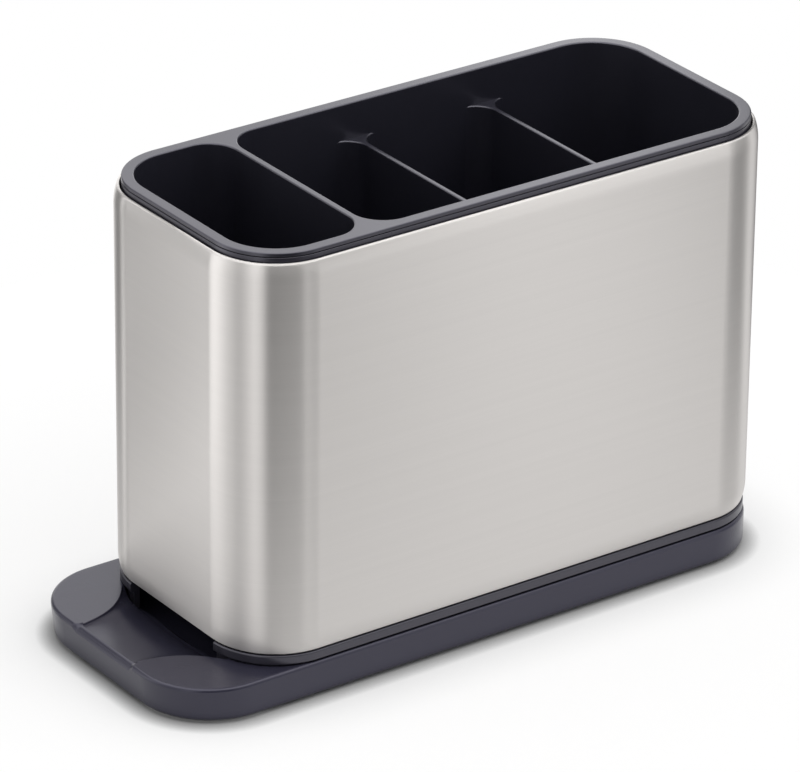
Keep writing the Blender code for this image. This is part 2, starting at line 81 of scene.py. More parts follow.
def body_outline(inset):
    """The body's footprint, drawn in on every side by inset."""
    half = BODY_WIDTH / 2 - inset
    return rounded_box(BODY_START + inset, BODY_END - inset, -half, half, [CORNER_RADIUS - inset] * 4)


print("points on the footprint:", len(body_outline(0.0)))

# %% [markdown]
# Round forms are drawn in small steps. Three helpers share that work: values evenly spaced between two
# ends, the quarter arc of a rounded edge, and the points of a circle.

# %% Even steps
ROUND_SIDES = 48


def spaced(start, end, steps):
    """Values from start to end in equal steps."""
    return [start + (end - start) * step / steps for step in range(steps + 1)]


def rounding(radius, steps):
    """A quarter arc as (across, down): from the side of a rounded edge, down by radius, to its top."""
    angles = spaced(0.0, math.pi / 2, steps)
    return [(radius * (1 - math.cos(angle)), radius * (1 - math.sin(angle))) for angle in angles]


def circle(sides, radius, centre_x=0.0, centre_y=0.0):
    """Points round a circle, anticlockwise from +X."""
    turns = [2 * math.pi * side / sides for side in range(sides)]
    return [(centre_x + radius * math.cos(turn), centre_y + radius * math.sin(turn)) for turn in turns]


print("points on a circle:", len(circle(ROUND_SIDES, 1.0)))

# %% [markdown]
# ## Softened corners
#
# No moulded or pressed edge is perfectly sharp. A fillet of a few tenths of a millimetre catches a thin
# line of light, and that line tells the eye how big the object is. `soften` takes a profile with sharp
# corners and a radius for each, and puts an arc in each corner. An arc takes up less than half of each
# side that it touches, so a radius that is too large for its sides comes out smaller.

# %% Round the corners of a profile
FILLET_STEPS = 5
SIDE_SHARE = 0.49


def soften(corners, closed=False, steps=FILLET_STEPS):
    """(inset, height) points through corners given as (inset, height, radius)."""
    points = []
    count = len(corners)
    for index, (x, z, radius) in enumerate(corners):
        at_end = not closed and index in (0, count - 1)
        if at_end or radius == 0:
            points.append((x, z))
            continue
        here = Vector((x, z))
        before = Vector(corners[index - 1][:2]) - here
        after = Vector(corners[(index + 1) % count][:2]) - here
        half_angle = before.angle(after) / 2
        reach = min(radius / math.tan(half_angle), SIDE_SHARE * before.length, SIDE_SHARE * after.length)
        fitted = reach * math.tan(half_angle)
        middle = (before.normalized() + after.normalized()).normalized()
        centre = here + middle * fitted / math.sin(half_angle)
        start = here + before.normalized() * reach - centre
        finish = here + after.normalized() * reach - centre
        turn = math.atan2(start.x * finish.y - start.y * finish.x, start.dot(finish))
        for step in range(steps + 1):
            spoke = Matrix.Rotation(turn * step / steps, 2) @ start
            points.append(tuple(centre + spoke))
    return points


square = [(0, 0, 1), (9, 0, 1), (9, 9, 1), (0, 9, 1)]
print("a square with soft corners has", len(soften(square, closed=True)), "points")

# %% [markdown]
# ## Finishes
#
# Five finishes cover the whole drainer. Each is a small node tree on the object's own coordinates, so
# the pattern stays with the piece when it moves. The numbers that are the same all over a surface are
# set straight on the shader.

# %% Helpers for a finish
def new_finish(name):
    """A new material, its node tree and its Principled shader."""
    material = bpy.data.materials.new(name)
    material.use_nodes = True
    tree = material.node_tree
    return material, tree, tree.nodes["Principled BSDF"]


def put(node, values):
    """Set inputs of a node by name."""
    for name, value in values.items():
        node.inputs[name].default_value = value


def add_node(tree, kind, values=None, **settings):
    """A node of this kind with its settings made, and its inputs set where values are given."""
    node = tree.nodes.new(kind)
    for key, value in settings.items():
        setattr(node, key, value)
    put(node, values or {})
    return node


def maths(tree, operation, first, second=None):
    """A Math node whose two sides are sockets or numbers."""
    node = add_node(tree, "ShaderNodeMath", operation=operation)
    for index, value in enumerate((first, second)):
        if isinstance(value, (int, float)):
            node.inputs[index].default_value = value
        elif value is not None:
            tree.links.new(value, node.inputs[index])
    return node.outputs[0]


def object_noise(tree, scale, stretch=(1, 1, 1), detail=3.0):
    """Noise on the object's own coordinates, stretched as asked."""
    place = add_node(tree, "ShaderNodeTexCoord")
    mapping = add_node(tree, "ShaderNodeMapping", {"Scale": stretch})
    noise = add_node(tree, "ShaderNodeTexNoise", {"Scale": scale, "Detail": detail, "Roughness": 0.55})
    tree.links.new(place.outputs["Object"], mapping.inputs["Vector"])
    tree.links.new(mapping.outputs["Vector"], noise.inputs["Vector"])
    return noise.outputs["Fac"]


def spread(tree, value, low, high):
    """Map a 0 to 1 value to the range low to high."""
    node = add_node(tree, "ShaderNodeMapRange", {"To Min": low, "To Max": high})
    tree.links.new(value, node.inputs["Value"])
    return node.outputs["Result"]


def tint(tree, value, dark, light):
    """A colour between dark and light, picked by a 0 to 1 value."""
    mix = add_node(tree, "ShaderNodeMix", data_type="RGBA")
    put(mix, {"A": (*dark, 1.0), "B": (*light, 1.0)})
    tree.links.new(value, mix.inputs["Factor"])
    return mix.outputs["Result"]


# %% [markdown]
# ### Satin steel
#
# The sleeve is brushed round its length, so its fine scratches lie flat and run round the body. Such a
# surface smears every reflection at right angles to the scratches: up and down. The picture is soft
# from floor to ceiling but stays sharp from side to side, which gives the tall clean bands at the
# corners. The shader does this with a high Anisotropic value. The tangent runs round the upright axis,
# and a quarter turn of it points the wide side of the highlight up.

# %% Satin steel
STEEL_DARK = (0.622, 0.600, 0.583)
STEEL_LIGHT = (0.695, 0.670, 0.650)
STEEL_ROUGHNESS = (0.35, 0.40)


def satin_steel():
    material, tree, shader = new_finish("satin_steel")
    put(shader, {"Metallic": 1.0, "Anisotropic": 1.0, "Anisotropic Rotation": 0.25})
    scratches = object_noise(tree, 1.0, (9, 9, 5200), detail=4.0)
    bands = object_noise(tree, 1.0, (4, 4, 420))
    brushing = maths(tree, "MULTIPLY", maths(tree, "ADD", scratches, bands), 0.5)
    tree.links.new(tint(tree, brushing, STEEL_DARK, STEEL_LIGHT), shader.inputs["Base Color"])
    tree.links.new(spread(tree, brushing, *STEEL_ROUGHNESS), shader.inputs["Roughness"])
    tangent = add_node(tree, "ShaderNodeTangent", direction_type="RADIAL", axis="Z")
    tree.links.new(tangent.outputs["Tangent"], shader.inputs["Tangent"])
    return material


STEEL = satin_steel()
print("finish:", STEEL.name)

# %% [markdown]
# ### Moulded plastic
#
# The rings, the insert and the tray are satin mouldings. Spark erosion leaves a very fine even grain in
# such a mould. It is too fine to see as dots from here, but it breaks the highlight up and keeps the
# surface from looking wet. A slow change in roughness stands for handling. The feet have the same tree
# with a rougher, deeper grain. Each row gives a light and a dark colour, the roughness, the gloss and
# the depth of the grain.

# %% Moulded plastic and rubber
MOULD_GRAIN = 0.00002
RUBBER_GRAIN = 0.00005
MOULDINGS = (
    ("ring_plastic", (0.026, 0.025, 0.034), (0.021, 0.020, 0.028), 0.28, 0.8, MOULD_GRAIN),
    ("insert_plastic", (0.017, 0.017, 0.026), (0.013, 0.013, 0.020), 0.30, 1.0, MOULD_GRAIN),
    ("tray_plastic", (0.034, 0.033, 0.053), (0.028, 0.027, 0.045), 0.25, 0.5, MOULD_GRAIN),
    ("foot_rubber", (0.030, 0.030, 0.031), (0.022, 0.022, 0.023), 0.82, 0.5, RUBBER_GRAIN),
)


def moulding_finish(name, light, dark, roughness, gloss, grain):
    material, tree, shader = new_finish(name)
    put(shader, {"Specular IOR Level": gloss, "Specular Tint": (0.90, 0.88, 1.0, 1.0)})
    erosion = object_noise(tree, 2600.0, detail=2.0)
    handling = object_noise(tree, 28.0)
    tree.links.new(tint(tree, handling, dark, light), shader.inputs["Base Color"])
    tree.links.new(spread(tree, handling, roughness - 0.04, roughness + 0.05), shader.inputs["Roughness"])
    bump = add_node(tree, "ShaderNodeBump", {"Strength": 1.0, "Distance": grain})
    tree.links.new(erosion, bump.inputs["Height"])
    tree.links.new(bump.outputs["Normal"], shader.inputs["Normal"])
    return material


RING_PLASTIC, INSERT_PLASTIC, TRAY_PLASTIC, FOOT_RUBBER = [moulding_finish(*row) for row in MOULDINGS]
print("finishes:", RING_PLASTIC.name, INSERT_PLASTIC.name, TRAY_PLASTIC.name, FOOT_RUBBER.name)

# %% [markdown]
# ## A band swept round the body
#
# The sleeve and both rings are bands of one section all the way round. That is a rule, so Geometry Nodes
# make them. The object's own mesh is only the section, drawn once. The tree makes the rounded rectangle,
# turns the section into a curve and carries it round. Change a size and the band follows.

# %% The tree that sweeps a band
NUMBER = "NodeSocketFloat"


def new_tree(name, sockets):
    """A geometry tree whose inputs are listed as (name, kind, value)."""
    tree = bpy.data.node_groups.new(name, "GeometryNodeTree")
    tree.interface.new_socket("Geometry", in_out="OUTPUT", socket_type="NodeSocketGeometry")
    tree.interface.new_socket("Geometry", in_out="INPUT", socket_type="NodeSocketGeometry")
    for title, kind, value in sockets:
        socket = tree.interface.new_socket(title, in_out="INPUT", socket_type=kind)
        if value is not None:
            socket.default_value = value
    return tree, tree.nodes.new("NodeGroupInput"), tree.nodes.new("NodeGroupOutput")


def chain(tree, *steps):
    """Join each output to the next input, given as (node, output name, node, input name)."""
    for source, output, target, entry in steps:
        tree.links.new(source.outputs[output], target.inputs[entry])


def band_tree():
    sizes = (
        ("Length", NUMBER, BODY_LENGTH),
        ("Width", NUMBER, BODY_WIDTH),
        ("Corner Radius", NUMBER, CORNER_RADIUS),
        ("Corner Steps", "NodeSocketInt", CORNER_STEPS),
        ("Centre", "NodeSocketVector", (BODY_X, 0, 0)),
        ("Finish", "NodeSocketMaterial", None),
    )
    tree, sockets, result = new_tree("band round the body", sizes)
    sheet = add_node(tree, "GeometryNodeCurvePrimitiveQuadrilateral")
    fillet = add_node(tree, "GeometryNodeFilletCurve", mode="POLY")
    upright = add_node(tree, "GeometryNodeSetCurveNormal", mode="Z_UP")
    section = add_node(tree, "GeometryNodeMeshToCurve")
    sweep = add_node(tree, "GeometryNodeCurveToMesh")
    move = add_node(tree, "GeometryNodeTransform")
    paint = add_node(tree, "GeometryNodeSetMaterial")
    chain(
        tree,
        (sockets, "Length", sheet, "Width"),
        (sockets, "Width", sheet, "Height"),
        (sheet, "Curve", fillet, "Curve"),
        (sockets, "Corner Radius", fillet, "Radius"),
        (sockets, "Corner Steps", fillet, "Count"),
        (fillet, "Curve", upright, "Curve"),
        (upright, "Curve", sweep, "Curve"),
        (sockets, "Geometry", section, "Mesh"),
        (section, "Curve", sweep, "Profile Curve"),
        (sweep, "Mesh", move, "Geometry"),
        (sockets, "Centre", move, "Translation"),
        (move, "Geometry", paint, "Geometry"),
        (sockets, "Finish", paint, "Material"),
        (paint, "Geometry", result, "Geometry"),
    )
    return tree


BAND_TREE = band_tree()
print("tree:", BAND_TREE.name, "with", len(BAND_TREE.nodes), "nodes")

# %% [markdown]
# A modifier's inputs are set by the identifier of each socket, because two sockets may share a name.
# `settle` turns what the modifiers make into a plain mesh. It weights the normals by face area first,
# so that the flats stay flat right up to their fillets.

# %% Set a tree's inputs, and settle a piece
SAME_PLACE = 1e-7


def give(modifier, **values):
    """Set inputs of a geometry tree by name, through the sockets' identifiers."""
    for item in modifier.node_group.interface.items_tree:
        if item.item_type == "SOCKET" and item.in_out == "INPUT":
            key = item.name.lower().replace(" ", "_")
            if key in values:
                modifier[item.identifier] = values[key]


def add_object(name, mesh):
    """A new object in the scene for a mesh."""
    piece = bpy.data.objects.new(name, mesh)
    bpy.context.scene.collection.objects.link(piece)
    return piece


def made_mesh(piece):
    """What a piece's modifiers make of it, as a mesh. The modifiers go."""
    depsgraph = bpy.context.evaluated_depsgraph_get()
    mesh = bpy.data.meshes.new_from_object(piece.evaluated_get(depsgraph), depsgraph=depsgraph)
    piece.modifiers.clear()
    return mesh


def settle(piece, sharp=50):
    """Make a piece's modifiers final, with faces that look out and smooth normals."""
    mesh = made_mesh(piece)
    work = bmesh.new()
    work.from_mesh(mesh)
    bmesh.ops.remove_doubles(work, verts=work.verts, dist=SAME_PLACE)
    bmesh.ops.recalc_face_normals(work, faces=work.faces)
    work.to_mesh(mesh)
    open_edges = sum(1 for edge in work.edges if not edge.is_manifold)
    volume = work.calc_volume(signed=True)
    work.free()
    mesh.shade_smooth()
    mesh.set_sharp_from_angle(angle=math.radians(sharp))
    piece.data = mesh
    weighted = piece.modifiers.new("even flats", "WEIGHTED_NORMAL")
    weighted.keep_sharp = True
    piece.data = made_mesh(piece)
    piece.data.name = piece.name
    print(f"{piece.name}: {len(piece.data.polygons)} faces, {open_edges} open edges, {volume * 1e6:.1f} cm3")
    return piece


def sweep_band(name, profile, finish):
    """A closed (inset, height) profile carried round the body."""
    mesh = bpy.data.meshes.new(name)
    loop = [(index, (index + 1) % len(profile)) for index in range(len(profile))]
    mesh.from_pydata([(-inset, -height, 0.0) for inset, height in profile], loop, [])
    piece = add_object(name, mesh)
    modifier = piece.modifiers.new("sweep", "NODES")
    modifier.node_group = BAND_TREE
    give(modifier, finish=finish)
    return piece


# %% [markdown]
# ## The steel sleeve
#
# The sleeve is drawn as 0.6 mm sheet. Near both ends it is pressed in along a gentle curve, and the edge
# is then rolled over inwards, so that no raw edge can cut a hand. The outer face is worked out first.
# The inner face is the same line moved in by the sheet's thickness along its normal.

# %% The sleeve's section
SLEEVE_BOTTOM = 0.0174
SLEEVE_TOP = 0.1576
SHEET = 0.0006
SHOULDER_HEIGHT = 0.0060
SHOULDER_RADIUS = 0.0200
ROLL_RADIUS = 0.0009
ROLL_DEGREES = 100
ROLL_STEPS = 10
LEAN = math.asin(SHOULDER_HEIGHT / SHOULDER_RADIUS)
ROLL_INSET = SHOULDER_RADIUS * (1 - math.cos(LEAN)) + ROLL_RADIUS * math.cos(LEAN)
EDGE_HEIGHT = SHOULDER_HEIGHT + ROLL_RADIUS * (1 - math.sin(LEAN))


def rolled_edge():
    """Outer face towards an end: (inset, rise, angle of the normal over the horizontal)."""
    points = []
    for angle in spaced(0.0, LEAN, ROLL_STEPS):
        points.append((SHOULDER_RADIUS * (1 - math.cos(angle)), SHOULDER_RADIUS * math.sin(angle), angle))
    for angle in spaced(LEAN, math.radians(ROLL_DEGREES), ROLL_STEPS)[1:]:
        rise = SHOULDER_HEIGHT + ROLL_RADIUS * (math.sin(angle) - math.sin(LEAN))
        points.append((ROLL_INSET - ROLL_RADIUS * math.cos(angle), rise, angle))
    return points


def sleeve_section():
    outer, inner = [], []
    for start, way in ((SLEEVE_BOTTOM + EDGE_HEIGHT, -1), (SLEEVE_TOP - EDGE_HEIGHT, 1)):
        for inset, rise, angle in rolled_edge()[::way]:
            height = start + way * rise
            outer.append((inset, height))
            inner.append((inset + SHEET * math.cos(angle), height - way * SHEET * math.sin(angle)))
    return outer + inner[::-1]


steel_shell = settle(sweep_band("steel_shell", sleeve_section(), STEEL))

# %% [markdown]
# ## The two rings
#
# Each ring closes one end of the sleeve and snaps behind the rolled edge with a hook. The top ring shows
# as a thin dark band under the insert's flange. The base ring shows under the steel, and is cut away at
# the spout so that water can pass. Each row below is a corner of the section: inset, height and radius.

# %% The rings' sections
LIP_GAP = 0.00066
PLAY = 0.0003
RING_WALL = 0.0016
HOOK_FACE = SHEET + PLAY
HOOK_BACK = HOOK_FACE + RING_WALL
HOOK_REACH = 0.0050
HOOK_ROUND = 0.0003
RING_FACE = ROLL_INSET + ROLL_RADIUS * math.sin(math.radians(ROLL_DEGREES - 90)) + LIP_GAP
NECK = 2 * ROLL_RADIUS
TOP_RING_TOP = 0.15916
RIM_WIDTH = 0.0043
INSERT_WALL = 0.0020
INSERT_INSET = RING_FACE + RIM_WIDTH - INSERT_WALL
LEDGE_TOP = 0.0068
BASE_FLANGE_BOTTOM = 0.0137
BASE_FLANGE_TOP = 0.0171
BASE_FLANGE_INSET = 0.0006
BASE_FLANGE_ROUND = 0.0006
SKIRT_INSET = 0.0021
SKIRT_INNER = RING_FACE + RING_WALL


def top_ring_section():
    hook_top = SLEEVE_TOP - EDGE_HEIGHT
    inner = INSERT_INSET - PLAY
    corners = [
        (RING_FACE, TOP_RING_TOP, 0.0003),
        (RING_FACE, SLEEVE_TOP - NECK, 0.0),
        (HOOK_FACE, hook_top, 0.0),
        (HOOK_FACE, hook_top - HOOK_REACH, HOOK_ROUND),
        (HOOK_BACK, hook_top - HOOK_REACH, HOOK_ROUND),
        (HOOK_BACK, hook_top, 0.0),
        (inner, SLEEVE_TOP - NECK, 0.0),
        (inner, TOP_RING_TOP, 0.0002),
    ]
    return soften(corners, closed=True)


def base_ring_section():
    hook_bottom = SLEEVE_BOTTOM + EDGE_HEIGHT
    foot = LEDGE_TOP + PLAY
    corners = [
        (BASE_FLANGE_INSET, BASE_FLANGE_TOP, BASE_FLANGE_ROUND),
        (BASE_FLANGE_INSET, BASE_FLANGE_BOTTOM, BASE_FLANGE_ROUND),
        (SKIRT_INSET, BASE_FLANGE_BOTTOM, 0.0),
        (SKIRT_INSET, foot, HOOK_ROUND),
        (SKIRT_INNER, foot, HOOK_ROUND),
        (SKIRT_INNER, SLEEVE_BOTTOM + NECK, 0.0),
        (HOOK_BACK, hook_bottom, 0.0),
        (HOOK_BACK, hook_bottom + HOOK_REACH, HOOK_ROUND),
        (HOOK_FACE, hook_bottom + HOOK_REACH, HOOK_ROUND),
        (HOOK_FACE, hook_bottom, 0.0),
        (RING_FACE, SLEEVE_BOTTOM + NECK, 0.0),
        (RING_FACE, BASE_FLANGE_TOP, 0.0),
    ]
    return soften(corners, closed=True)


top_band = settle(sweep_band("top_band", top_ring_section(), RING_PLASTIC))

# %% [markdown]
# ## Solids from stacked outlines
#
# The mouldings are thick and closed, so they are stacks: the same outline at one height after another,
# with a face between each pair and a cap on both ends. Hollows are stacks too, taken away with a
# Boolean. Such a tool reaches a little past the face that it enters, because a cut that ends in a face
# leaves slivers. A hollow that flares at its mouth leaves a fillet on the edge that it cuts.

# %% Stack outlines and carve them
OVERSHOOT = 0.0020


def stack(name, loops):
    """Closed solid through loops of as many points each, from the lowest to the highest."""
    mesh = bmesh.new()
    rings = [[mesh.verts.new(point) for point in loop] for loop in loops]
    mesh.faces.new(list(reversed(rings[0])))
    mesh.faces.new(rings[-1])
    for lower, upper in zip(rings, rings[1:]):
        for index in range(len(lower)):
            following = (index + 1) % len(lower)
            mesh.faces.new((lower[index], lower[following], upper[following], upper[index]))
    bmesh.ops.recalc_face_normals(mesh, faces=mesh.faces)
    data = bpy.data.meshes.new(name)
    mesh.to_mesh(data)
    mesh.free()
    return add_object(name, data)


def at_height(points, height):
    return [(x, y, height) for x, y in points]


def stack_rows(name, rows, outline):
    """A stack from (inset, height) rows. outline turns an inset into points."""
    return stack(name, [at_height(outline(inset), height) for inset, height in rows])


def carve(piece, *tools, operation="DIFFERENCE"):
    """Take the tools away from a piece, or add them, for good."""
    for tool in tools:
        modifier = piece.modifiers.new(tool.name, "BOOLEAN")
        modifier.operation = operation
        modifier.object = tool
        modifier.solver = "EXACT"
    piece.data = made_mesh(piece)
    for tool in tools:
        bpy.data.objects.remove(tool, do_unlink=True)
    return piece


def cover(piece, finish):
    """Give a carved piece one finish all over."""
    piece.data.materials.clear()
    piece.data.materials.append(finish)


# %% [markdown]
# The base ring is the first piece to be carved. A plain box takes out the stretch that stands over the
# spout, so that the channel runs through under the steel.

# %% The base ring, cut away at the spout
CUT_HALF = 0.0248
CUT_DEPTH = 0.0062
CUT_BOTTOM = 0.0010
CUT_TOP = 0.0187


def opening_tool():
    start, end = BODY_START - OVERSHOOT, BODY_START + CUT_DEPTH
    corners = [(start, -CUT_HALF), (end, -CUT_HALF), (end, CUT_HALF), (start, CUT_HALF)]
    return stack("opening", [at_height(corners, CUT_BOTTOM), at_height(corners, CUT_TOP)])


base_band = settle(sweep_band("base_band", base_ring_section(), RING_PLASTIC))
carve(base_band, opening_tool())
settle(base_band)

# %% [markdown]
# ## The insert
#
# The insert is one moulding that lifts out for washing. Its walls lean by half a degree so that it
# leaves its mould. It starts as a solid block with a flange, and two hollows are taken out of it: a
# small one by the spout, and a long one that two lower dividers split in three.

# %% The insert's outside
RIM_TOP = 0.1608
FLANGE_BOTTOM = 0.15946
INSERT_BOTTOM = 0.0208
FLOOR_TOP = 0.0233
FLOOR_ROUND = 0.0030
RIM_INSET = RING_FACE + RIM_WIDTH
RIM_HALF = BODY_WIDTH / 2 - RIM_INSET
RIM_ROUND = 0.0006
DRAFT = math.tan(math.radians(0.5))
CAP_INSET = 0.0080
HOLLOW_STEPS = 6


def insert_block():
    base = INSERT_INSET + (FLANGE_BOTTOM - INSERT_BOTTOM) * DRAFT
    corners = [
        (base + CAP_INSET, INSERT_BOTTOM, 0.0),
        (base, INSERT_BOTTOM, FLOOR_ROUND),
        (INSERT_INSET, FLANGE_BOTTOM, 0.0),
        (RING_FACE, FLANGE_BOTTOM, 0.00015),
        (RING_FACE, RIM_TOP, 0.0005),
        (RING_FACE + 0.0015, RIM_TOP, 0.0),
    ]
    return stack_rows("cutlery_holder", soften(corners), body_outline)


def hollow_loop(start, end, radii, level, inset):
    inset += (RIM_TOP - level) * DRAFT
    half = RIM_HALF - inset
    return at_height(rounded_box(start + inset, end - inset, -half, half, [r - inset for r in radii]), level)


def hollow(name, start, end, radii):
    """A hollow with a filleted floor and a mouth that flares into a round rim."""
    corners = [(CAP_INSET, FLOOR_TOP, 0.0), (0.0, FLOOR_TOP, FLOOR_ROUND), (0.0, RIM_TOP - RIM_ROUND, 0.0)]
    profile = soften(corners, steps=HOLLOW_STEPS)
    profile += [(-across, RIM_TOP - down) for across, down in rounding(RIM_ROUND, HOLLOW_STEPS)[1:]]
    profile.append((-RIM_ROUND, RIM_TOP + OVERSHOOT / 2))
    return stack(name, [hollow_loop(start, end, radii, level, inset) for inset, level in profile])


FIRST_LENGTH = 0.0417
FULL_DIVIDER = 0.0025
FIRST_RADIUS = 0.0110
REST_RADIUS = 0.0115
FIRST_START = BODY_START + RIM_INSET
FIRST_END = FIRST_START + FIRST_LENGTH
REST_START = FIRST_END + FULL_DIVIDER
REST_END = BODY_END - RIM_INSET
OUTER_RADIUS = CORNER_RADIUS - RIM_INSET
cutlery_holder = insert_block()
first_radii = [FIRST_RADIUS, OUTER_RADIUS, OUTER_RADIUS, FIRST_RADIUS]
rest_radii = [OUTER_RADIUS, REST_RADIUS, REST_RADIUS, OUTER_RADIUS]
first = hollow("first_hollow", FIRST_START, FIRST_END, first_radii)
rest = hollow("rest_hollow", REST_START, REST_END, rest_radii)
carve(cutlery_holder, first, rest)
print("insert hollowed:", len(cutlery_holder.data.polygons), "faces")

# %% [markdown]
# The two low dividers stop 13 mm short of the rim, which leaves one wide mouth for ladles and spatulas.
# Where they meet the long walls they spread in a round fillet, which stiffens the corner and leaves no
# groove for dirt. From above each end looks like a small fan.

# %% The low dividers
SECOND_LENGTH = 0.0520
THIRD_LENGTH = 0.0514
LOW_DIVIDER = 0.0019
DIVIDER_TOP = RIM_TOP - 0.0130
DIVIDER_FOOT = FLOOR_TOP - 0.0012
DIVIDER_ROUND = 0.0006
FAN_RADIUS = 0.0075
FAN_DEGREES = 84
FAN_TAIL = 0.0005
INTO_WALL = 0.0010
DIVIDER_PLACES = (
    REST_START + SECOND_LENGTH + LOW_DIVIDER / 2,
    REST_START + SECOND_LENGTH + 1.5 * LOW_DIVIDER + THIRD_LENGTH,
)


def fan_outline(centre, level, inset):
    """A low divider's outline at one height, with its four fans, drawn in by inset."""
    wall = RIM_HALF - (RIM_TOP - level) * DRAFT
    half = LOW_DIVIDER / 2 + (DIVIDER_TOP - level) * DRAFT - inset
    radius = FAN_RADIUS + inset
    quarter = []
    for angle in spaced(0.0, math.radians(FAN_DEGREES), 12):
        quarter.append((half + radius * (1 - math.cos(angle)), wall - FAN_RADIUS + radius * math.sin(angle)))
    last_x, last_y = quarter[-1]
    quarter.append((last_x + FAN_TAIL / math.tan(math.radians(90 - FAN_DEGREES)), last_y + FAN_TAIL))
    quarter.append((last_x, wall + INTO_WALL))
    upper = [(centre + x, y) for x, y in quarter] + [(centre - x, y) for x, y in reversed(quarter)]
    return upper + [(2 * centre - x, -y) for x, y in upper]


def low_divider(name, centre):
    loops = [at_height(fan_outline(centre, DIVIDER_FOOT, 0.0), DIVIDER_FOOT)]
    for across, down in rounding(DIVIDER_ROUND, FILLET_STEPS):
        loops.append(at_height(fan_outline(centre, DIVIDER_TOP - down, across), DIVIDER_TOP - down))
    return stack(name, loops)


for number, centre in enumerate(DIVIDER_PLACES):
    carve(cutlery_holder, low_divider(f"divider_{number}", centre), operation="UNION")
print("dividers at", [round(place, 4) for place in DIVIDER_PLACES])

# %% [markdown]
# Each compartment has its own grid of drain holes. A grid is a rule as well: the tree works out how many
# holes fit between the margins, puts one round cutter on each point and keeps the grid in the middle.

# %% The tree that drills a floor
HOLE_SIDES = 28


def copies_on_grid(tree, grid, place, shape):
    """Copies of a shape on a grid's points. place and shape are given as (node, output name)."""
    move = add_node(tree, "GeometryNodeTransform")
    scatter = add_node(tree, "GeometryNodeInstanceOnPoints")
    real = add_node(tree, "GeometryNodeRealizeInstances")
    chain(
        tree,
        (grid, "Mesh", move, "Geometry"),
        (*place, move, "Translation"),
        (move, "Geometry", scatter, "Points"),
        (*shape, scatter, "Instance"),
        (scatter, "Instances", real, "Geometry"),
    )
    return real


def count_and_span(tree, room, pitch):
    """How many holes fit in a length, and how far the outer two are apart."""
    steps = maths(tree, "FLOOR", maths(tree, "DIVIDE", room, pitch))
    return maths(tree, "ADD", steps, 1.0), maths(tree, "MULTIPLY", steps, pitch)


def drill_tree():
    names = ("Start", "End", "Half Width", "Margin", "Pitch", "Diameter", "Bottom", "Depth")
    tree, sockets, result = new_tree("drain holes", [(name, NUMBER, None) for name in names])
    size = sockets.outputs
    twice = maths(tree, "MULTIPLY", size["Margin"], 2.0)
    length = maths(tree, "SUBTRACT", maths(tree, "SUBTRACT", size["End"], size["Start"]), twice)
    width = maths(tree, "SUBTRACT", maths(tree, "MULTIPLY", size["Half Width"], 2.0), twice)
    columns, long_side = count_and_span(tree, length, size["Pitch"])
    rows, short_side = count_and_span(tree, width, size["Pitch"])
    grid = add_node(tree, "GeometryNodeMeshGrid")
    entries = {"Size X": long_side, "Size Y": short_side, "Vertices X": columns, "Vertices Y": rows}
    for entry, source in entries.items():
        tree.links.new(source, grid.inputs[entry])
    middle = maths(tree, "DIVIDE", maths(tree, "ADD", size["Start"], size["End"]), 2.0)
    height = maths(tree, "ADD", size["Bottom"], maths(tree, "DIVIDE", size["Depth"], 2.0))
    place = add_node(tree, "ShaderNodeCombineXYZ")
    tree.links.new(middle, place.inputs["X"])
    tree.links.new(height, place.inputs["Z"])
    drill = add_node(tree, "GeometryNodeMeshCylinder", {"Vertices": HOLE_SIDES})
    tree.links.new(maths(tree, "DIVIDE", size["Diameter"], 2.0), drill.inputs["Radius"])
    cutters = copies_on_grid(tree, grid, (place, "Vector"), (drill, "Mesh"))
    together = add_node(tree, "GeometryNodeJoinGeometry")
    chain(
        tree,
        (sockets, "Depth", drill, "Depth"),
        (sockets, "Geometry", together, "Geometry"),
        (cutters, "Geometry", together, "Geometry"),
        (together, "Geometry", result, "Geometry"),
    )
    return tree


DRILL_TREE = drill_tree()
print("tree:", DRILL_TREE.name, "with", len(DRILL_TREE.nodes), "nodes")

# %% [markdown]
# Four copies of the modifier, one for each compartment, make one tool, and one cut with it drills all
# the floors.

# %% Drill the floors
HOLE_DIAMETER = 0.0060
HOLE_PITCH = 0.0140
HOLE_MARGIN = 0.0080
HOLE_DEPTH = 0.0065


def drill_tool():
    half = LOW_DIVIDER / 2
    first_divider, second_divider = DIVIDER_PLACES
    floors = (
        (FIRST_START, FIRST_END),
        (REST_START, first_divider - half),
        (first_divider + half, second_divider - half),
        (second_divider + half, REST_END),
    )
    tool = add_object("drain_holes", bpy.data.meshes.new("drain_holes"))
    for start, end in floors:
        modifier = tool.modifiers.new("floor", "NODES")
        modifier.node_group = DRILL_TREE
        give(modifier, start=start, end=end, half_width=RIM_HALF, margin=HOLE_MARGIN, pitch=HOLE_PITCH)
        give(modifier, diameter=HOLE_DIAMETER, bottom=INSERT_BOTTOM - OVERSHOOT, depth=HOLE_DEPTH)
    return carve(tool)


drills = drill_tool()
print("drain holes:", len(drills.data.vertices) // (2 * HOLE_SIDES))
carve(cutlery_holder, drills)
cover(cutlery_holder, INSERT_PLASTIC)
settle(cutlery_holder, sharp=38)

# %% [markdown]
# ## The drip tray
#
# The tray carries everything. Under the body it has a well with a ledge, where the base ring's skirt
# stands, and inside the ledge a shallow basin that falls towards the spout. Past the body the tray runs
# on as two flat wings. Between them a channel rises to the pouring lip. The end wall under the lip
# leans in a little towards its foot.

